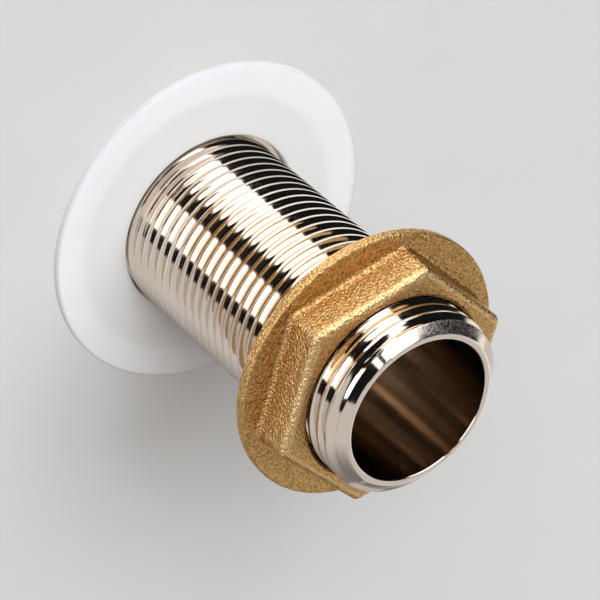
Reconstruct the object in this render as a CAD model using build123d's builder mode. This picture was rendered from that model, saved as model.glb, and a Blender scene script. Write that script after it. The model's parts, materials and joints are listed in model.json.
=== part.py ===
"""Drain socket: a flanged waste tube with its sealing washer and its flanged locknut."""

import os

from build123d import *

# Sizes are in millimetres. The socket stands on its flange, and the tube's axis is +Z.

# Tube: its diameter is the crests of a one inch parallel pipe thread
overall_length = 68.0
thread_diameter = 33.25
tube_wall = 3.4
lead_length = 1.9
end_ring_width = 1.0
end_edge_break = 0.25

# Flange of the socket, which stands out past the thread
flange_width = 8.4
flange_thickness = 3.5
flange_face_round = 1.2
flange_seat_round = 0.4
mouth_round = 2.5
neck_fillet = 0.2

# Sealing washer, which lies loose on the flange, a little off the axis towards -X and +Y
washer_width = 13.75
washer_thickness = 1.5
washer_hole_clearance = 0.65
washer_centre = (-0.38, 0.33)
washer_edge_break = 0.2

# Locknut: a hexagon on a round flange
hex_wall = 2.6
hex_draft = 1.5
hex_corner_round = 1.8
hex_edge_round = 1.2
hex_root_fillet = 0.8
nut_height = 9.1
nut_flange_lip = 5.35
nut_flange_thickness = 2.1
rim_round = 0.4
nut_bore_chamfer = 0.4

# Where the nut stands on the tube: its running gap, its place below the tube's end and its turn
thread_clearance = 0.3
nut_setback = 7.1
nut_turn = 35.5

# Sizes that follow from those above
thread_radius = thread_diameter / 2
bore_radius = thread_radius - tube_wall
end_ring_radius = bore_radius + end_ring_width
flange_radius = thread_radius + flange_width
washer_hole_radius = thread_radius + washer_hole_clearance
washer_radius = washer_hole_radius + washer_width
nut_bore_radius = thread_radius + thread_clearance
hex_flat_radius = nut_bore_radius + hex_wall
nut_flange_radius = hex_flat_radius + nut_flange_lip
nut_top = overall_length - nut_setback
nut_bottom = nut_top - nut_height
hex_bottom = nut_bottom + nut_flange_thickness

SAME_PLACE = 0.01


def ring_edges(part, radius, height):
    """The circular edges of a part that have this radius and lie at this height."""
    circles = part.edges().filter_by(GeomType.CIRCLE)
    at_height = circles.filter_by_position(Axis.Z, height - SAME_PLACE, height + SAME_PLACE)
    return at_height.filter_by(lambda edge: abs(edge.radius - radius) < SAME_PLACE)


# Socket: one turned section, flange at the bottom and the coned thread lead at the top
with BuildPart() as socket:
    with BuildSketch(Plane.XZ):
        with BuildLine():
            Polyline(
                (bore_radius, 0),
                (flange_radius, 0),
                (flange_radius, flange_thickness),
                (thread_radius, flange_thickness),
                (thread_radius, overall_length - lead_length),
                (end_ring_radius, overall_length),
                (bore_radius, overall_length),
                close=True,
            )
        make_face()
    revolve(axis=Axis.Z)
    fillet(ring_edges(socket, bore_radius, 0), mouth_round)
    fillet(ring_edges(socket, flange_radius, 0), flange_face_round)
    fillet(ring_edges(socket, flange_radius, flange_thickness), flange_seat_round)
    fillet(ring_edges(socket, thread_radius, flange_thickness), neck_fillet)
    chamfer(ring_edges(socket, bore_radius, overall_length), end_edge_break)

socket.part.label = "socket"

# Washer: a flat ring with its edges broken, seated on the flange
with BuildPart() as washer:
    with BuildSketch(Plane.XY.offset(flange_thickness)):
        with Locations(washer_centre):
            Circle(washer_radius)
            Circle(washer_hole_radius, mode=Mode.SUBTRACT)
    extrude(amount=washer_thickness)
    chamfer(washer.edges().filter_by(GeomType.CIRCLE), washer_edge_break)

washer.part.label = "washer"

# Locknut: round flange, drafted hexagon with rounded corners, coved root and chamfered bore
with BuildPart() as locknut:
    with BuildSketch(Plane.XY.offset(nut_bottom)):
        Circle(nut_flange_radius)
    extrude(amount=nut_flange_thickness)
    fillet(locknut.edges().filter_by(GeomType.CIRCLE), rim_round)

    with BuildSketch(Plane.XY.offset(hex_bottom)) as hex_outline:
        RegularPolygon(hex_flat_radius, 6, major_radius=False, rotation=nut_turn)
        fillet(hex_outline.vertices(), hex_corner_round)
    extrude(amount=nut_top - hex_bottom, taper=hex_draft)
    fillet(locknut.faces().sort_by(Axis.Z)[-1].edges(), hex_edge_round)
    seat = locknut.faces().filter_by_position(Axis.Z, hex_bottom - SAME_PLACE, hex_bottom + SAME_PLACE)
    fillet(seat[0].inner_wires()[0].edges(), hex_root_fillet)

    with Locations((0, 0, nut_top)):
        Hole(nut_bore_radius, depth=nut_height)
    chamfer(ring_edges(locknut, nut_bore_radius, nut_top), nut_bore_chamfer)
    chamfer(ring_edges(locknut, nut_bore_radius, nut_bottom), nut_bore_chamfer)

locknut.part.label = "locknut"

os.makedirs("parts", exist_ok=True)
export_step(socket.part, "parts/socket.step")
export_step(washer.part, "parts/washer.step")
export_step(locknut.part, "parts/locknut.step")
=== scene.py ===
"""Looks of the drain socket: its threaded nickel tube, translucent washer and forged brass locknut."""

import json
import math

import bpy
import numpy as np
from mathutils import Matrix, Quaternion, Vector, noise


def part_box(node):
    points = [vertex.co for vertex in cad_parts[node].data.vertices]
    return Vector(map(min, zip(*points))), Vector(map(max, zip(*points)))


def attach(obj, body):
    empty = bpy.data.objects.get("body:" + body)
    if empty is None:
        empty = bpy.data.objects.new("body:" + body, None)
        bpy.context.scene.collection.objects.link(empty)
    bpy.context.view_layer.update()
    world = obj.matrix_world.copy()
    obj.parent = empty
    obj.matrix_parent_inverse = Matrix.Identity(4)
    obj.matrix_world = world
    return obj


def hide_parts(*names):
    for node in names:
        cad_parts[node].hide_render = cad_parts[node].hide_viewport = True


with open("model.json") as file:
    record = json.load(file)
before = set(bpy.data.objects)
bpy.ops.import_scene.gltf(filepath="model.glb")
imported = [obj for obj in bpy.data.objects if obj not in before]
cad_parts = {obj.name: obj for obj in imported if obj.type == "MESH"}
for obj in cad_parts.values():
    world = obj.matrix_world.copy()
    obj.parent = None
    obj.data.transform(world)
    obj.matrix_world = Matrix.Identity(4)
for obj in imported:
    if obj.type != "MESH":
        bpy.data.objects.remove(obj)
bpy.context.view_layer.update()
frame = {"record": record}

MM = 0.001

# Sizes that the frame gives, in millimetres
mounts = {mount["name"]: mount for mount in frame["record"]["mounts"]}
BORE_RADIUS = mounts["waste_bore"]["dims"]["r_mm"]
THREAD_RADIUS = mounts["outlet_thread"]["dims"]["r_mm"]
SOCKET_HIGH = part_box("socket")[1] / MM
WASHER_LOW, WASHER_HIGH = (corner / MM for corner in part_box("washer"))
NUT_LOW, NUT_HIGH = (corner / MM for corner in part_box("locknut"))
TUBE_END = SOCKET_HIGH.z
FLANGE_RADIUS = SOCKET_HIGH.x
FLANGE_TOP = WASHER_LOW.z
WASHER_CENTRE = (WASHER_LOW + WASHER_HIGH) / 2

# The washer's and the nut's rims stay a little inside the frame's boxes
RIM_MARGIN = 0.02
WASHER_RADIUS = (WASHER_HIGH.x - WASHER_LOW.x) / 2 - RIM_MARGIN
NUT_FLANGE_RADIUS = NUT_HIGH.x - RIM_MARGIN

# One inch parallel pipe thread, right hand, of the 55 degree form with flat crests and rounded roots
PITCH = 25.4 / 11
FLANK_LEAN = math.radians(27.5)
FLANK_HOLLOW = 0.012
CREST_FLAT = 0.46
CREST_ROUND = 0.03
ROOT_ROUND = 0.4
CREST_HALF = CREST_FLAT / 2 + CREST_ROUND * math.cos(FLANK_LEAN)
ROOT_HALF = ROOT_ROUND * math.cos(FLANK_LEAN)
FLANK_RUN = PITCH / 2 - CREST_HALF - ROOT_HALF
CREST_DEPTH = CREST_ROUND * (1 - math.sin(FLANK_LEAN))
ROOT_DEPTH = ROOT_ROUND * (1 - math.sin(FLANK_LEAN))
THREAD_DEPTH = CREST_DEPTH + FLANK_RUN / math.tan(FLANK_LEAN) + ROOT_DEPTH
RUN_OUT_LENGTH = 0.5

# Height of one of the crests, on the side of +X
CREST_HEIGHT = 65.67

# A row of the thread that comes this near to a flat row joins it
ROW_SNAP = 0.02

# Details of the socket's section, in millimetres
LEAD_LENGTH = 1.9
END_RING_WIDTH = 1.0
END_RADIUS = BORE_RADIUS + END_RING_WIDTH
BORE_EDGE_ROUND = 0.25
MOUTH_ROUND = 2.5
FLANGE_FACE_ROUND = 1.2
FLANGE_SEAT_ROUND = 0.4
NECK_FILLET = 0.2
THREAD_START = FLANGE_TOP + NECK_FILLET

# Skin value that marks the coned lead; on the thread the skin is the groove's depth as a share
LEAD_MARK = -1.0

# Details of the washer and the nut, in millimetres
WASHER_HOLE_CLEARANCE = 0.65
WASHER_HOLE_RADIUS = THREAD_RADIUS + WASHER_HOLE_CLEARANCE
WASHER_EDGE_ROUND = 0.3
WASHER_LIFT = 0.02
THREAD_CLEARANCE = 0.3
NUT_BORE_RADIUS = THREAD_RADIUS + THREAD_CLEARANCE
NUT_THREAD_DEPTH = 0.95
NUT_BORE_CHAMFER = 0.4
NUT_FLANGE_THICKNESS = 2.1
HEX_WALL = 2.6
HEX_FLAT_RADIUS = NUT_BORE_RADIUS + HEX_WALL
HEX_CORNER_ROUND = 1.8
HEX_CORNER_LEAST = 0.1
HEX_EDGE_ROUND = 1.2
HEX_ROOT_FILLET = 0.8
HEX_DRAFT = math.tan(math.radians(1.5))
HEX_BOTTOM = NUT_LOW.z + NUT_FLANGE_THICKNESS
HEX_TURN = math.radians(35.5)
HALF_SIDE = math.pi / 6
RIM_ROUND = 0.45

# Grain of the forging: its depth and size, the scale of its broader swell, and how coarse each face is
FORGED_DEPTH = 0.10
FORGED_GRAIN = 0.48
FORGED_SWELL = 0.45
COARSENESS = {
    "bore": 0.2,
    "bottom": 0.6,
    "near_edge": 0.65,
    "low_rim": 0.7,
    "rim": 0.75,
    "high_rim": 0.8,
    "near_face": 0.8,
    "flat": 0.85,
    "root": 0.9,
    "flange": 1.0,
}

# Columns round each mesh
SOCKET_COLUMNS = 180
WASHER_COLUMNS = 256
NUT_COLUMNS = 600

# Rows on the hexagon's root fillet, its flats and its near edge, with both ends counted
ROOT_ROWS = 6
FLAT_ROWS = 24
EDGE_ROWS = 9

# Photograph's view: the tube's axis runs down to the right, so the camera is rolled
VIEW_AIM = Vector((-0.65, 0, 32.86)) * MM
VIEW_DISTANCE = 506.2 * MM
VIEW_ELEVATION = math.radians(41.8)
VIEW_AZIMUTH = math.radians(0.1)
VIEW_ROLL = math.radians(131.44)
VIEW_LENS = 180
SENSOR_WIDTH = 36


# Meshes

def arc(centre, radius, start, end, rows):
    """Points of an arc in a section, as pairs of radius and height; angles in degrees."""
    turn = np.radians(np.linspace(start, end, rows))
    return [(centre[0] + radius * c, centre[1] + radius * s) for c, s in zip(np.cos(turn), np.sin(turn))]


def straight(start, end, rows):
    """Points of a straight run in a section, without its ends."""
    share = np.linspace(0, 1, rows + 2)[1:-1]
    return [(start[0] + (end[0] - start[0]) * s, start[1] + (end[1] - start[1]) * s) for s in share]


def ring(radius, height, columns):
    """One closed row of points round the axis; radius and height are numbers or one value a column."""
    turn = 2 * np.pi * np.arange(columns) / columns
    height = np.broadcast_to(height, columns)
    return np.stack([radius * np.cos(turn), radius * np.sin(turn), height], axis=1)


def join_rows(index):
    """Faces between neighbouring rows of point numbers, each row closed on itself."""
    near, far = index[:-1], index[1:]
    return np.stack([near, np.roll(near, -1, 1), np.roll(far, -1, 1), far], axis=2).reshape(-1, 4)


def helix_rows(low, high, columns, phases, radius_at):
    """A wall of revolution whose rows follow a thread, between a flat row at low and one at high.

    Gives the points, with the two flat rows first, and the faces, which are triangles where a row of the
    thread runs out into a flat row.
    """
    count = len(phases)
    turns = math.ceil((high - low) / PITCH) + 2
    first = CREST_HEIGHT - PITCH * math.ceil((CREST_HEIGHT - low) / PITCH + 1)
    row = np.arange(turns * count + count)[:, None]
    column = np.arange(columns)[None, :]
    phase = np.asarray(phases)[row % count]
    height = first + PITCH * (row // count + phase + column / columns)
    below, above = height < low + ROW_SNAP, height > high - ROW_SNAP
    inside = ~(below | above)
    index = np.where(below, column, columns + column)
    index[inside] = 2 * columns + np.arange(inside.sum())

    turn = np.broadcast_to(2 * np.pi * column / columns, height.shape)[inside]
    radius = radius_at(np.broadcast_to(phase, height.shape)[inside], height[inside])
    wall = np.stack([radius * np.cos(turn), radius * np.sin(turn), height[inside]], axis=1)
    flat = [ring(radius_at(np.zeros(1), np.array([level])), level, columns) for level in (low, high)]

    after = np.roll(index, -1, 1)
    after[:-count, -1] = index[count:, 0]
    after[-count:, -1] = columns
    quads = np.stack([index[:-1], after[:-1], after[1:], index[1:]], axis=2).reshape(-1, 4)
    faces = [list(dict.fromkeys(quad)) for quad in quads.tolist()]
    return np.concatenate(flat + [wall]), [face for face in faces if len(face) > 2]


def even_normals(mesh):
    """Normals at a mesh's points, with each face weighted by its area.

    Broad faces then stay flat beside narrow rounds.
    """
    count = len(mesh.polygons)
    normals = np.empty(3 * count, dtype=np.float32)
    mesh.polygons.foreach_get("normal", normals)
    areas = np.empty(count, dtype=np.float32)
    mesh.polygons.foreach_get("area", areas)
    sizes = np.empty(count, dtype=np.int32)
    mesh.polygons.foreach_get("loop_total", sizes)
    corners = np.empty(len(mesh.loops), dtype=np.int32)
    mesh.loops.foreach_get("vertex_index", corners)
    weighted = normals.reshape(-1, 3) * (areas / areas.mean())[:, None]
    total = np.zeros((len(mesh.vertices), 3))
    np.add.at(total, corners, np.repeat(weighted, sizes, axis=0))
    return total / np.linalg.norm(total, axis=1, keepdims=True)


def mesh_piece(name, points, faces, materials, body, node, skin=None):
    """A smooth mesh from points in millimetres, riding on a body in place of a node.

    Skin is a value at each point, such as the groove's depth or the forging's coarseness, which the mesh
    keeps for its material.
    """
    mesh = bpy.data.meshes.new(name)
    mesh.from_pydata(np.asarray(points) * MM, [], faces)
    mesh.shade_smooth()
    mesh.normals_split_custom_set_from_vertices(even_normals(mesh))
    if skin is not None:
        mesh.attributes.new("skin", "FLOAT", "POINT").data.foreach_set("value", skin.astype(np.float32))
    for material in materials:
        mesh.materials.append(material)
    piece = bpy.data.objects.new(name, mesh)
    bpy.context.scene.collection.objects.link(piece)
    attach(piece, body)
    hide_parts(node)
    return piece


def thread_phases(edge_points, flank_points, root_points):
    """Places of a thread's rows in one pitch: a crest's two edges, the flank, the root and the next flank."""
    span = math.pi / 2 - FLANK_LEAN
    edge = CREST_FLAT / 2 + CREST_ROUND * np.sin(np.linspace(0, span, edge_points))
    root = PITCH / 2 + ROOT_ROUND * np.sin(np.linspace(-span, span, root_points))
    down = np.linspace(CREST_HALF, CREST_HALF + FLANK_RUN, flank_points + 2)[1:-1]
    return np.concatenate([-edge[::-1], edge, down, root, PITCH - down[::-1]]) / PITCH


def thread_cut(phase):
    """Depth of the rounded thread below its crest, in millimetres, at a place in the pitch."""
    away = np.abs((np.asarray(phase) + 0.5) % 1 - 0.5) * PITCH
    past_flat = np.maximum(away - CREST_FLAT / 2, 0)
    crest = CREST_ROUND - np.sqrt(np.maximum(CREST_ROUND**2 - past_flat**2, 0))
    from_root = PITCH / 2 - away
    root = THREAD_DEPTH - ROOT_ROUND + np.sqrt(np.maximum(ROOT_ROUND**2 - from_root**2, 0))
    share = (away - CREST_HALF) / FLANK_RUN
    flank = CREST_DEPTH + (away - CREST_HALF) / math.tan(FLANK_LEAN) + 4 * FLANK_HOLLOW * share * (1 - share)
    return np.where(away < CREST_HALF, crest, np.where(from_root < ROOT_HALF, root, flank))


def smooth_step(value, low, high):
    """0 below low, 1 above high, and an even rise between."""
    share = np.clip((value - low) / (high - low), 0, 1)
    return share * share * (3 - 2 * share)


def tube_radius(phase, height):
    """Radius of the threaded tube, which fades in above the neck and is cut by the coned lead."""
    faded = smooth_step(height, THREAD_START, THREAD_START + RUN_OUT_LENGTH)
    lead_slope = (THREAD_RADIUS - END_RADIUS) / LEAD_LENGTH
    lead = END_RADIUS + (TUBE_END - height) * lead_slope
    return np.minimum(THREAD_RADIUS - thread_cut(phase) * faded, lead)


def socket_section():
    """The socket's section, from the end ring through the bore and round the flange to the thread's start.

    Gives its points, and how many of them come before the bore's wall and before the bore's mouth.
    """
    bore_top = TUBE_END - BORE_EDGE_ROUND
    edge_radius = BORE_RADIUS + BORE_EDGE_ROUND
    section = straight((END_RADIUS, TUBE_END), (edge_radius, TUBE_END), rows=2)
    section += arc((edge_radius, bore_top), BORE_EDGE_ROUND, 90, 180, rows=4)
    wall_row = len(section)
    section += straight((BORE_RADIUS, bore_top), (BORE_RADIUS, MOUTH_ROUND), rows=12)
    mouth_row = len(section)

    mouth_radius = BORE_RADIUS + MOUTH_ROUND
    face_radius = FLANGE_RADIUS - FLANGE_FACE_ROUND
    section += arc((mouth_radius, MOUTH_ROUND), MOUTH_ROUND, 180, 270, rows=12)
    section += straight((mouth_radius, 0), (face_radius, 0), rows=8)
    section += arc((face_radius, FLANGE_FACE_ROUND), FLANGE_FACE_ROUND, -90, 0, rows=8)

    rim_top = FLANGE_TOP - FLANGE_SEAT_ROUND
    seat_radius = FLANGE_RADIUS - FLANGE_SEAT_ROUND
    neck_radius = THREAD_RADIUS + NECK_FILLET
    section += straight((FLANGE_RADIUS, FLANGE_FACE_ROUND), (FLANGE_RADIUS, rim_top), rows=3)
    section += arc((seat_radius, rim_top), FLANGE_SEAT_ROUND, 0, 90, rows=5)
    section += straight((seat_radius, FLANGE_TOP), (neck_radius, FLANGE_TOP), rows=6)
    section += arc((neck_radius, THREAD_START), NECK_FILLET, 270, 180, rows=6)[:-1]
    return section, wall_row, mouth_row


def build_socket(plate, bore_finish):
    """The threaded tube, its coned lead, end ring, bore and flange as one closed mesh."""
    columns = SOCKET_COLUMNS
    phases = thread_phases(edge_points=2, flank_points=3, root_points=5)
    points, faces = helix_rows(THREAD_START, TUBE_END, columns, phases, tube_radius)
    section, wall_row, mouth_row = socket_section()

    start = len(points)
    rows = np.stack([ring(radius, height, columns) for radius, height in section])
    number = np.arange(columns)
    index = start + np.arange(len(section) * columns).reshape(-1, columns)
    index = np.concatenate([[columns + number], index, [number]])
    first_face = len(faces)
    faces += join_rows(index).tolist()
    points = np.concatenate([points, rows.reshape(-1, 3)])

    groove = np.clip((THREAD_RADIUS - np.hypot(points[:, 0], points[:, 1])) / THREAD_DEPTH, 0, 1)
    groove[start:] = 0
    groove[:start][points[:start, 2] > TUBE_END - LEAD_LENGTH] = LEAD_MARK
    piece = mesh_piece(
        "socket_finish", points, faces, [plate, bore_finish], "drain_body", "socket", groove
    )
    inside = np.zeros(len(faces), dtype=np.int32)
    inside[first_face + wall_row * columns:first_face + mouth_row * columns] = 1
    piece.data.polygons.foreach_set("material_index", inside)
    return piece


def build_washer(plastic):
    """The flat ring with rounded edges, which lets the lamps through to the floor."""
    low, high, edge = WASHER_LOW.z + WASHER_LIFT, WASHER_HIGH.z, WASHER_EDGE_ROUND
    inner, outer = WASHER_HOLE_RADIUS + edge, WASHER_RADIUS - edge
    section = arc((outer, low + edge), edge, -90, 0, rows=6)
    section += arc((outer, high - edge), edge, 0, 90, rows=6)
    section += straight((outer, high), (inner, high), rows=20)
    section += arc((inner, high - edge), edge, 90, 180, rows=6)
    section += arc((inner, low + edge), edge, 180, 270, rows=6)
    section += straight((inner, low), (outer, low), rows=20)
    points = np.concatenate([ring(radius, height, WASHER_COLUMNS) for radius, height in section])
    points[:, :2] += WASHER_CENTRE[:2]
    index = np.arange(len(points)).reshape(-1, WASHER_COLUMNS)
    faces = join_rows(np.concatenate([index, index[:1]]))
    washer = mesh_piece(
        "washer_finish", points, faces.tolist(), [plastic], "drain_body", "washer"
    )
    washer.visible_shadow = False
    washer.visible_diffuse = False
    return washer


def hex_outline(inset):
    """Radius of the rounded hexagon, moved in by an inset, at each column."""
    flat = HEX_FLAT_RADIUS - inset
    corner = max(HEX_CORNER_ROUND - inset, HEX_CORNER_LEAST)
    turn = 2 * np.pi * np.arange(NUT_COLUMNS) / NUT_COLUMNS - HEX_TURN
    from_corner = (turn + HALF_SIDE) % (2 * HALF_SIDE) - HALF_SIDE
    from_flat = HALF_SIDE - np.abs(from_corner)
    centre = (flat - corner) / math.cos(HALF_SIDE)
    on_flat = flat / np.cos(from_flat)
    under_root = np.maximum(corner**2 - (centre * np.sin(from_corner)) ** 2, 0)
    on_corner = centre * np.cos(from_corner) + np.sqrt(under_root)
    flat_ends = (flat - corner) * math.tan(HALF_SIDE)
    return np.where(flat * np.tan(from_flat) < flat_ends, on_flat, on_corner)


def nut_rows():
    """Rows of the nut's outside, from the bore's lower mouth round to its upper one.

    Each row has a radius, a height and the name of its face. A radius is a number or one value a column.
    """
    low, high = NUT_LOW.z, NUT_HIGH.z
    mouth = NUT_BORE_RADIUS + NUT_BORE_CHAMFER
    rows = []

    def add_rows(face, section):
        rows.extend((radius, height, face) for radius, height in section)

    # Bottom face and rim
    rim_inside = NUT_FLANGE_RADIUS - RIM_ROUND
    rim_low, rim_high = low + RIM_ROUND, HEX_BOTTOM - RIM_ROUND
    add_rows("bottom", [(mouth, low)])
    add_rows("bottom", straight((mouth, low), (rim_inside, low), rows=8))
    add_rows("low_rim", arc((rim_inside, rim_low), RIM_ROUND, -90, 0, rows=5))
    add_rows("rim", straight((NUT_FLANGE_RADIUS, rim_low), (NUT_FLANGE_RADIUS, rim_high), rows=4))
    add_rows("high_rim", arc((rim_inside, rim_high), RIM_ROUND, 0, 90, rows=6))

    # Flange face, from the round rim in to the hexagon's root
    root = hex_outline(-HEX_ROOT_FILLET)
    add_rows("flange", straight((rim_inside, HEX_BOTTOM), (root, HEX_BOTTOM), rows=18))
    for turn in np.radians(np.linspace(0, 90, ROOT_ROWS)):
        out = HEX_ROOT_FILLET * (1 - math.sin(turn))
        add_rows("root", [(hex_outline(-out), HEX_BOTTOM + HEX_ROOT_FILLET * (1 - math.cos(turn)))])

    # Drafted flats and the rounded near edge
    side_low, side_high = HEX_BOTTOM + HEX_ROOT_FILLET, high - HEX_EDGE_ROUND
    for height in np.linspace(side_low, side_high, FLAT_ROWS)[1:]:
        add_rows("flat", [(hex_outline((height - HEX_BOTTOM) * HEX_DRAFT), height)])
    side_inset = (side_high - HEX_BOTTOM) * HEX_DRAFT
    for turn in np.radians(np.linspace(0, 90, EDGE_ROWS)[1:]):
        inset = side_inset + HEX_EDGE_ROUND * (1 - math.cos(turn))
        add_rows("near_edge", [(hex_outline(inset), side_high + HEX_EDGE_ROUND * math.sin(turn))])

    # Near face, in to the chamfered bore
    edge = hex_outline(side_inset + HEX_EDGE_ROUND)
    add_rows("near_face", straight((edge, high), (mouth, high), rows=6))
    add_rows("near_face", [(mouth, high)])
    return rows


def forged(points, columns, coarse):
    """Rows of points pushed in by the grain of a forging, by the coarseness at each point."""
    rows = points.reshape(-1, columns, 3)
    round_way = np.roll(rows, -1, 1) - np.roll(rows, 1, 1)
    up_way = np.gradient(rows, axis=0)
    normal = np.cross(round_way, up_way).reshape(-1, 3)
    normal /= np.linalg.norm(normal, axis=1, keepdims=True)
    spots = [Vector(point) / FORGED_GRAIN for point in points]
    pits = np.array([2 + noise.noise(spot) + noise.noise(spot * FORGED_SWELL) for spot in spots]) / 2
    return points - normal * (FORGED_DEPTH * coarse * pits)[:, None]


def build_locknut(brass):
    """The forged hexagon on its round flange, with a threaded bore."""
    columns = NUT_COLUMNS
    rows = nut_rows()
    coarse = np.repeat([COARSENESS[face] for _, _, face in rows], columns)
    points = np.concatenate([ring(radius, height, columns) for radius, height, _ in rows])
    points = forged(points, columns, coarse)
    bore_low, bore_high = NUT_LOW.z + NUT_BORE_CHAMFER, NUT_HIGH.z - NUT_BORE_CHAMFER

    def bore_radius(phase, height):
        from_end = np.minimum(height - bore_low, bore_high - height)
        cut = NUT_THREAD_DEPTH * (1 - thread_cut(phase) / THREAD_DEPTH)
        return NUT_BORE_RADIUS + cut * smooth_step(from_end, 0, RUN_OUT_LENGTH)

    phases = thread_phases(edge_points=1, flank_points=0, root_points=3)
    wall, wall_faces = helix_rows(bore_low, bore_high, columns, phases, bore_radius)
    start = len(wall)
    number = np.arange(columns)
    index = start + np.arange(len(points)).reshape(-1, columns)
    index = np.concatenate([[number], index, [columns + number]])
    faces = [face[::-1] for face in wall_faces] + join_rows(index).tolist()
    return mesh_piece(
        "locknut_finish", np.concatenate([wall, points]), faces, [brass], "nut_body", "locknut",
        np.concatenate([np.full(start, COARSENESS["bore"]), coarse]),
    )


# Materials

# Range that most of a noise falls in
NOISE_SPAN = (0.3, 0.7)

# Nickel: its plate, a painted brown shade in the thread's roots by the groove's depth, and the bore's thin
# plate with painted lighter streaks along the axis
NICKEL = (0.78, 0.70, 0.625, 1)
NICKEL_SPECK = (0.76, 0.68, 0.605, 1)
ROOT_SHADE_BROWN = (0.26, 0.155, 0.07, 1)
ROOT_SHADE_SPAN = (0.66, 0.9)
ROOT_SHADE_SHARE = 0.9
LINE_SPAN = (0.3, 0.75)
PLATE_ROUGHNESS = (0.04, 0.10)
BORE_NICKEL = (0.33, 0.25, 0.185, 1)
BORE_PAINTED_STREAK = (0.38, 0.30, 0.225, 1)
PAINTED_STREAK_SPAN = (0.35, 0.65)
BORE_ROUGHNESS = (0.12, 0.18)

# Scuffs on the coned lead: the way to them, and their rise along it in millimetres
SCUFFED_SIDE = (-0.883, -0.469, 0)
SCUFFED_RISE = (12.4, 14.6)
SCUFF_SPAN = (0.25, 0.7)
SCUFF_LEAST = 0.3
SCUFF_ROUGHNESS = 0.30

# Plastic: its own colour, a painted shade over the flange and a painted shade at the rim, and where past each
# edge it changes
PLASTIC = (0.81, 0.81, 0.825, 1)
PLASTIC_PALE = (0.825, 0.825, 0.84, 1)
PLASTIC_FLANGE_SHADE = (0.775, 0.77, 0.768, 1)
FLANGE_SHADE_FADE = (-1, 1.5)
PLASTIC_RIM_SHADE = (0.62, 0.62, 0.64, 1)
RIM_SHADE_RISE = (-0.55, -0.1)
PLASTIC_ROUGHNESS = (0.14, 0.2)
SOAK_DEPTH = 1.5

# Brass: its own colour, that of machined or worn places, which also paints a highlight along the hexagon's
# near edge, painted shade in pits and painted glints on grains
BRASS = (0.57, 0.35, 0.14, 1)
BRASS_PALE = (0.63, 0.395, 0.168, 1)
BRASS_WORN_AND_EDGE_SHEEN = (0.72, 0.49, 0.245, 1)
WORN_AND_SHEEN_FADE = (0.65, 0.75)
BRASS_PIT_SHADE = (0.24, 0.12, 0.03, 1)
PIT_SHADE_SPAN = (0.52, 0.36)
PIT_SHADE_SHARE = 0.66
BRASS_GRAIN_GLINT = (0.84, 0.56, 0.25, 1)
GLINT_SPAN = (0.53, 0.68)
GLINT_SHARE = 0.5
BRASS_GLEAM = (1.0, 0.82, 0.58, 1)
COARSE_SPAN = (0.6, 0.85)
BRASS_ROUGHNESS = (0.25, 0.33)
DENT_SIZE = 0.42

# Paper of the floor
PAPER = (0.685, 0.68, 0.67, 1)
PAPER_PALE = (0.70, 0.695, 0.685, 1)

# Places of a Mix node's sockets for colours
MIX_SHARE = 0
MIX_FIRST = 6
MIX_SECOND = 7
MIX_RESULT = 2


def feed(tree, node, inputs):
    """Inputs of a node: one that is a socket is linked, and any other is set."""
    for place, value in inputs.items():
        if isinstance(value, bpy.types.NodeSocket):
            tree.links.new(value, node.inputs[place])
        else:
            node.inputs[place].default_value = value


def add_node(tree, kind, inputs=None, **settings):
    """A shader node with its settings and inputs."""
    made = tree.nodes.new(kind)
    for name, value in settings.items():
        setattr(made, name, value)
    feed(tree, made, inputs or {})
    return made


def number_math(tree, operation, *values):
    """What a number node makes of its values."""
    return add_node(tree, "ShaderNodeMath", dict(enumerate(values)), operation=operation).outputs[0]


def vector_math(tree, operation, *values):
    """What a vector node makes of its values: a number for a length, distance or dot product, or a vector."""
    made = add_node(tree, "ShaderNodeVectorMath", dict(enumerate(values)), operation=operation)
    gives_number = operation in ("LENGTH", "DISTANCE", "DOT_PRODUCT")
    return made.outputs["Value" if gives_number else "Vector"]


def product(tree, first, second):
    """Two values multiplied."""
    return number_math(tree, "MULTIPLY", first, second)


def spread(tree, value, low, high, least=0.0, most=1.0, rise="LINEAR"):
    """A value taken from one range to another and held at its ends."""
    inputs = dict(enumerate((value, low, high, least, most)))
    return add_node(tree, "ShaderNodeMapRange", inputs, interpolation_type=rise).outputs[0]


def step(tree, value, low, high, least=0.0, most=1.0):
    """A spread that starts and ends smoothly."""
    return spread(tree, value, low, high, least, most, rise="SMOOTHSTEP")


def mixed(tree, share, first, second):
    """One of two colours, or a mix, by a share."""
    inputs = {MIX_SHARE: share, MIX_FIRST: first, MIX_SECOND: second}
    return add_node(tree, "ShaderNodeMix", inputs, data_type="RGBA").outputs[MIX_RESULT]


def grain_noise(tree, place, size, detail):
    """Noise whose grain has a size in millimetres, or one along each axis."""
    even = [1 / length for length in np.broadcast_to(size, 3).tolist()]
    moved = vector_math(tree, "MULTIPLY", place, even)
    made = add_node(tree, "ShaderNodeTexNoise", {"Vector": moved, "Scale": 1.0, "Detail": detail})
    return made.outputs["Fac"]


def bumped(tree, height, depth, strength, under=None):
    """A normal bumped by a height of 0 to 1 over a depth in millimetres, on top of another bump."""
    inputs = {"Strength": strength, "Distance": depth * MM, "Height": height}
    if under:
        inputs["Normal"] = under
    return add_node(tree, "ShaderNodeBump", inputs).outputs[0]


def skin_value(tree):
    """The value that the mesh keeps at each point."""
    return add_node(tree, "ShaderNodeAttribute", attribute_name="skin").outputs["Fac"]


def new_material(name):
    """A material with a Principled shader: gives it, its tree, the shader and places in millimetres."""
    material = bpy.data.materials.new(name)
    material.use_nodes = True
    tree = material.node_tree
    tree.nodes.clear()
    shader = add_node(tree, "ShaderNodeBsdfPrincipled")
    add_node(tree, "ShaderNodeOutputMaterial", {"Surface": shader.outputs[0]})
    place = add_node(tree, "ShaderNodeTexCoord").outputs["Object"]
    return material, tree, shader, vector_math(tree, "MULTIPLY", place, [1 / MM] * 3)


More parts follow.
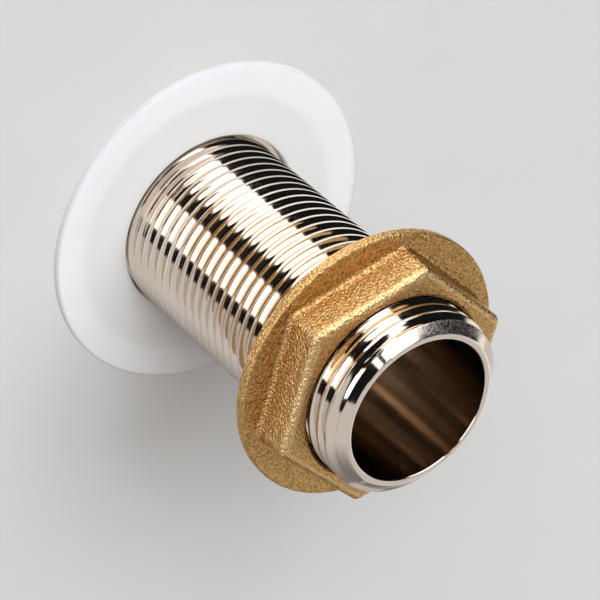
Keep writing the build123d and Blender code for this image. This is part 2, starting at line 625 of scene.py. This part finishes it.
def nickel_plate():
    """Bright nickel over turned brass: tool lines, dull specks, painted shade in the thread roots, a scuffed
    lead.
    """
    material, tree, shader, place = new_material("nickel_plate")
    groove = skin_value(tree)
    lines = grain_noise(tree, place, size=(5, 5, 0.12), detail=3)
    specks = grain_noise(tree, place, size=0.5, detail=2)
    tint = mixed(tree, spread(tree, specks, *NOISE_SPAN), NICKEL, NICKEL_SPECK)
    # Painted shade: the thread's roots turn dark brown by the groove's depth
    tint = mixed(tree, spread(tree, groove, *ROOT_SHADE_SPAN, most=ROOT_SHADE_SHARE), tint, ROOT_SHADE_BROWN)

    patches = grain_noise(tree, place, size=0.4, detail=3)
    patches = spread(tree, patches, *SCUFF_SPAN, least=SCUFF_LEAST)
    to_side = vector_math(tree, "DOT_PRODUCT", place, SCUFFED_SIDE)
    worn = product(tree, step(tree, to_side, *SCUFFED_RISE), spread(tree, groove, 0, LEAD_MARK))
    scuffs = product(tree, patches, worn)
    scratches = product(tree, grain_noise(tree, place, size=(0.3, 0.3, 0.12), detail=2), scuffs)
    polish = spread(tree, lines, *LINE_SPAN, *PLATE_ROUGHNESS)

    normal = bumped(tree, lines, depth=0.01, strength=0.1)
    normal = bumped(tree, scratches, depth=0.02, strength=1.0, under=normal)
    normal = bumped(tree, specks, depth=0.006, strength=0.3, under=normal)
    feed(tree, shader, {
        "Base Color": tint,
        "Roughness": number_math(tree, "MULTIPLY_ADD", scuffs, SCUFF_ROUGHNESS, polish),
        "Normal": normal,
        "Metallic": 1,
    })
    return material


def bore_nickel():
    """The bore's thin, brownish plate with painted lighter streaks along the axis; its turning lines draw
    highlights out along it.
    """
    material, tree, shader, place = new_material("nickel_bore")
    painted_streaks = grain_noise(tree, place, size=(2.5, 2.5, 200), detail=3)
    lines = grain_noise(tree, place, size=(40, 40, 0.3), detail=2)
    way_round = add_node(tree, "ShaderNodeTangent", direction_type="RADIAL", axis="Z")
    feed(tree, shader, {
        # Painted highlight: lighter streaks along the axis mixed into the bore's colour
        "Base Color": mixed(tree, spread(tree, painted_streaks, *PAINTED_STREAK_SPAN), BORE_NICKEL, BORE_PAINTED_STREAK),
        "Roughness": spread(tree, lines, *NOISE_SPAN, *BORE_ROUGHNESS),
        "Normal": bumped(tree, lines, depth=0.02, strength=0.25),
        "Tangent": way_round.outputs[0],
        "Anisotropic": 0.8,
        "Anisotropic Rotation": 0.25,
        "Metallic": 1,
    })
    return material


def white_plastic():
    """Milky washer plastic that light soaks into, with a painted shade over the flange and on the rim."""
    material, tree, shader, place = new_material("white_plastic")
    mottle = grain_noise(tree, place, size=4, detail=3)
    tint = mixed(tree, spread(tree, mottle, *NOISE_SPAN), PLASTIC, PLASTIC_PALE)
    flat = vector_math(tree, "MULTIPLY", place, (1, 1, 0))
    from_centre = vector_math(tree, "DISTANCE", flat, (WASHER_CENTRE.x, WASHER_CENTRE.y, 0))
    # Painted shade: the rim is darkened against the glow the lamps put on its round
    rim_shade = step(tree, from_centre, *(WASHER_RADIUS + past for past in RIM_SHADE_RISE))
    tint = mixed(tree, rim_shade, tint, PLASTIC_RIM_SHADE)
    from_axis = vector_math(tree, "LENGTH", flat)
    # Painted shade: the plastic is darker where the flange lies behind it
    flange_shade = step(tree, from_axis, *(FLANGE_RADIUS + past for past in FLANGE_SHADE_FADE), least=1.0, most=0.0)
    fine = grain_noise(tree, place, size=0.4, detail=2)
    feed(tree, shader, {
        "Base Color": mixed(tree, flange_shade, tint, PLASTIC_FLANGE_SHADE),
        "Roughness": spread(tree, fine, *NOISE_SPAN, *PLASTIC_ROUGHNESS),
        "Normal": bumped(tree, fine, depth=0.01, strength=0.1),
        "Subsurface Weight": 1.0,
        "Subsurface Radius": (1.0, 1.0, 1.0),
        "Subsurface Scale": SOAK_DEPTH * MM,
        "Transmission Weight": 0.12,
        "IOR": 1.3,
        "Specular IOR Level": 0.3,
    })
    return material


def raw_brass():
    """Forged brass as it came from the die: a sandy skin, with painted shade in its pits and painted glints
    on its grains.
    """
    material, tree, shader, place = new_material("raw_brass")
    coarse = skin_value(tree)
    sand = grain_noise(tree, place, size=0.4, detail=2)
    fine = grain_noise(tree, place, size=0.15, detail=2)
    cells = add_node(tree, "ShaderNodeTexVoronoi", {"Vector": place, "Scale": 1 / DENT_SIZE})
    dents = cells.outputs["Distance"]
    patches = grain_noise(tree, place, size=4, detail=3)
    tint = mixed(tree, spread(tree, patches, *NOISE_SPAN), BRASS, BRASS_PALE)
    # Machined bore and bottom are brighter; on the near edge the same tint is a painted highlight
    tint = mixed(tree, spread(tree, coarse, *WORN_AND_SHEEN_FADE, least=1, most=0), tint, BRASS_WORN_AND_EDGE_SHEEN)
    # Painted shade: the low spots of the sandy skin are coloured dark brown
    pit_shade = product(tree, spread(tree, sand, *PIT_SHADE_SPAN, most=PIT_SHADE_SHARE), coarse)
    tint = mixed(tree, pit_shade, tint, BRASS_PIT_SHADE)
    # Painted glints: the high spots of the sandy skin are coloured bright gold
    tint = mixed(tree, spread(tree, sand, *GLINT_SPAN, most=GLINT_SHARE), tint, BRASS_GRAIN_GLINT)

    normal = bumped(tree, product(tree, dents, coarse), depth=0.16, strength=1.0)
    normal = bumped(tree, product(tree, sand, coarse), depth=0.20, strength=1.0, under=normal)
    normal = bumped(tree, fine, depth=0.03, strength=0.5, under=normal)
    feed(tree, shader, {
        "Base Color": tint,
        "Roughness": spread(tree, coarse, *COARSE_SPAN, *BRASS_ROUGHNESS),
        "Normal": normal,
        "Metallic": 1,
        "Specular Tint": BRASS_GLEAM,
    })
    return material


def paper():
    """The floor's pale paper."""
    material, tree, shader, place = new_material("paper")
    fibre = grain_noise(tree, place, size=20, detail=2)
    feed(tree, shader, {
        "Base Color": mixed(tree, spread(tree, fibre, *NOISE_SPAN), PAPER, PAPER_PALE),
        "Roughness": 0.9,
        "Specular IOR Level": 0.1,
    })
    return material


# Studio

# The photograph's table as the metal mirrors it: its way up, and its side and the tube's axis across that
UP_TURN = math.radians(36.9)
STUDIO_UP = Vector((-math.sin(UP_TURN), -math.cos(UP_TURN), 0))
STUDIO_SIDE = Vector((-math.cos(UP_TURN), math.sin(UP_TURN), 0))
ALONG = Vector((0, 0, 1))

# Soft box over the tube: a card with a slanted left edge; places to the side and along the axis
CARD_OUTLINE = [
    (150, -260), (95, -125), (95, 230), (-48, 230),
    (-48, -15), (-115, -125), (-20, -180), (-20, -260),
]
CARD_HEIGHT = 200
CARD_GLOW = 2.7

# Soft boxes far off: turn from up and tilt along the tube, as ranges in degrees, and strength
SOFT_BOXES = {
    "left": ((-80, -43), (-37, 50), 2.9),
    "front_low": ((-8, 42), (0, 60), 3.2),
    "front_high": ((-10, 66), (60, 70), 2.4),
    "front_strip": ((-29, -18), (54, 76), 2.0),
    "right": ((105, 176), (0, 34), 0.35),
}
BOX_SOFTNESS = 1.5

# Table and room round them: flanks of the thread look out above the low tilt, and crests and bore below it
LOW_TILT = -37
LOW_SOFTNESS = 2
DARK_ROOM = (0.01, 0.01, 0.01, 1)
ROOM_TURNS = (-97, 104)
TABLE = (0.69, 0.67, 0.65, 1)
NEAR_TABLE = (0.76, 0.78, 0.84, 1)
NEAR_TILT = -15
NEAR_SOFTNESS = 5
LOW_TABLE = (0.54, 0.52, 0.52, 1)
BACKDROP = (1.2, 1.2, 1.2, 1)
BACKDROP_TURNS = (-85, 150)
DIM_BACKDROP = (0.26, 0.15, 0.07, 1)
DIM_TURNS = (-83, -5)
BACKDROP_SOFTNESS = 5

# Shade on the table under the tube: how much light is left, and where, downward, it is full and where it ends
UNDER_SHADE = 0.32
SHADE_FADE = (-1.0, -0.6)
BLACK = (0, 0, 0, 1)

# Small cards under the bore's far mouth, which only the bore mirrors: turn, half width and strength
MOUTH_CARDS = {
    "mouth_left": (-50, 23, 1.2),
    "mouth_over": (12, 11, 6.0),
    # A dark card, seen only in the bore, that puts shade into the bore's right side
    "mouth_right": (54, 22, 0.02),
}
MOUTH_CARD_AWAY = 40
MOUTH_CARD_LEVELS = (-24, -55)

# Even light on matt surfaces
AMBIENT = 0.28
AMBIENT_COLOUR = (1.0, 0.87, 0.81, 1)

# Lamps for the soft shadows: the way to each, and its energy
LAMPS = {
    "key": (Vector((-0.74, -0.58, 1)), 1.6),
    "fill": (Vector((-0.45, -1.5, 1)), 2.45),
}
LAMP_COLOUR = (0.905, 0.97, 1.0)
LAMP_SPREAD = math.radians(42)

# Half of the floor's width, in metres
FLOOR_HALF = 4.0


def in_range(tree, value, low, high, soft):
    """1 between two angles in degrees and 0 outside, with a short rise."""
    low, high, soft = math.radians(low), math.radians(high), math.radians(soft)
    rise = step(tree, value, low - soft, low + soft)
    fall = step(tree, value, high - soft, high + soft, least=1.0, most=0.0)
    return product(tree, rise, fall)


def mirrored_studio(tree):
    """Colour of the studio round the tube by the way from it: table, dark room, backdrop and soft boxes."""
    way = add_node(tree, "ShaderNodeTexCoord").outputs["Generated"]
    axes = (STUDIO_UP, STUDIO_SIDE, ALONG)
    up, side, along = (vector_math(tree, "DOT_PRODUCT", way, axis) for axis in axes)
    turn = number_math(tree, "ARCTAN2", side, up)
    tilt = number_math(tree, "ARCSINE", along)

    def above(level, soft):
        return step(tree, tilt, math.radians(level - soft), math.radians(level + soft))

    shade = step(tree, up, *SHADE_FADE, least=1 - UNDER_SHADE, most=0.0)
    table = mixed(tree, above(NEAR_TILT, NEAR_SOFTNESS), NEAR_TABLE, TABLE)
    table = mixed(tree, shade, table, BLACK)
    high = mixed(tree, in_range(tree, turn, *ROOM_TURNS, BOX_SOFTNESS), table, DARK_ROOM)
    low = mixed(tree, shade, LOW_TABLE, BLACK)
    low = mixed(tree, in_range(tree, turn, *BACKDROP_TURNS, BACKDROP_SOFTNESS), low, BACKDROP)
    low = mixed(tree, in_range(tree, turn, *DIM_TURNS, BACKDROP_SOFTNESS), low, DIM_BACKDROP)
    total = mixed(tree, above(LOW_TILT, LOW_SOFTNESS), low, high)
    for turns, tilts, strength in SOFT_BOXES.values():
        across = in_range(tree, turn, *turns, BOX_SOFTNESS)
        box = product(tree, across, in_range(tree, tilt, *tilts, BOX_SOFTNESS))
        total = vector_math(tree, "MULTIPLY_ADD", box, [strength] * 3, total)
    return total


def build_world():
    """Even light for matt surfaces, and the studio for metal to mirror."""
    world = bpy.data.worlds.new("studio")
    bpy.context.scene.world = world
    world.use_nodes = True
    world.cycles.sampling_method = "NONE"
    tree = world.node_tree
    tree.nodes.clear()
    mirrored = add_node(tree, "ShaderNodeBackground", {"Color": mirrored_studio(tree)})
    even = add_node(tree, "ShaderNodeBackground", {"Color": AMBIENT_COLOUR, "Strength": AMBIENT})
    glossy = add_node(tree, "ShaderNodeLightPath").outputs["Is Glossy Ray"]
    mix = add_node(tree, "ShaderNodeMixShader", {0: glossy, 1: even.outputs[0], 2: mirrored.outputs[0]})
    add_node(tree, "ShaderNodeOutputWorld", {"Surface": mix.outputs[0]})


def sheet(name, corners, material):
    """A flat sheet that stages the object."""
    mesh = bpy.data.meshes.new(name)
    mesh.from_pydata(corners, [], [range(len(corners))])
    mesh.materials.append(material)
    made = bpy.data.objects.new(name, mesh)
    bpy.context.scene.collection.objects.link(made)
    return made


def build_floor(material):
    """A wide sheet under the flange, which metal doesn't mirror."""
    half = FLOOR_HALF
    floor = sheet("floor", [(-half, -half, 0), (half, -half, 0), (half, half, 0), (-half, half, 0)], material)
    floor.visible_glossy = False


def build_card(name, corners, strength):
    """A glowing card, which only metal sees."""
    material = bpy.data.materials.new(name)
    material.use_nodes = True
    material.cycles.emission_sampling = "NONE"
    tree = material.node_tree
    tree.nodes.clear()
    glow = add_node(tree, "ShaderNodeEmission", {"Strength": strength})
    add_node(tree, "ShaderNodeOutputMaterial", {"Surface": glow.outputs[0]})
    card = sheet(name, corners, material)
    card.visible_camera = False
    card.visible_diffuse = False
    card.visible_transmission = False
    card.visible_shadow = False


def build_cards():
    """The soft box over the tube and the small cards under the bore's far mouth."""
    over = [(STUDIO_UP * CARD_HEIGHT + STUDIO_SIDE * x + ALONG * y) * MM for x, y in CARD_OUTLINE]
    build_card("soft_box", over, CARD_GLOW)
    top, bottom = (ALONG * level for level in MOUTH_CARD_LEVELS)
    for name, (degrees, half, strength) in MOUTH_CARDS.items():
        turn = math.radians(degrees)
        away = STUDIO_UP * math.cos(turn) + STUDIO_SIDE * math.sin(turn)
        across = ALONG.cross(away) * half
        left, right = away * MOUTH_CARD_AWAY - across, away * MOUTH_CARD_AWAY + across
        corners = [left + top, right + top, right + bottom, left + bottom]
        build_card(name, [corner * MM for corner in corners], strength)


def build_lamps():
    """Two broad lamps on the camera's side and above, for the soft shadows; metal doesn't mirror them."""
    for name, (way, energy) in LAMPS.items():
        lamp = bpy.data.lights.new(name, "SUN")
        lamp.energy = energy
        lamp.angle = LAMP_SPREAD
        lamp.color = LAMP_COLOUR
        made = bpy.data.objects.new(name, lamp)
        made.rotation_mode = "QUATERNION"
        made.rotation_quaternion = (-way).to_track_quat("-Z", "Y")
        made.visible_glossy = False
        bpy.context.scene.collection.objects.link(made)


def build_camera():
    """The photograph's camera: level at its elevation and azimuth, then rolled."""
    back = Vector((
        math.sin(VIEW_AZIMUTH) * math.cos(VIEW_ELEVATION),
        -math.cos(VIEW_AZIMUTH) * math.cos(VIEW_ELEVATION),
        math.sin(VIEW_ELEVATION),
    ))
    level = (-back).to_track_quat("-Z", "Y")
    lens = bpy.data.cameras.new("camera")
    lens.lens = VIEW_LENS
    lens.sensor_width = SENSOR_WIDTH
    camera = bpy.data.objects.new("camera", lens)
    camera.location = VIEW_AIM + back * VIEW_DISTANCE
    camera.rotation_mode = "QUATERNION"
    camera.rotation_quaternion = level @ Quaternion((0, 0, 1), VIEW_ROLL)
    bpy.context.scene.collection.objects.link(camera)
    bpy.context.scene.camera = camera


build_socket(nickel_plate(), bore_nickel())
build_washer(white_plastic())
build_locknut(raw_brass())
build_world()
build_floor(paper())
build_cards()
build_lamps()
build_camera()
bpy.context.scene.view_settings.view_transform = "Standard"
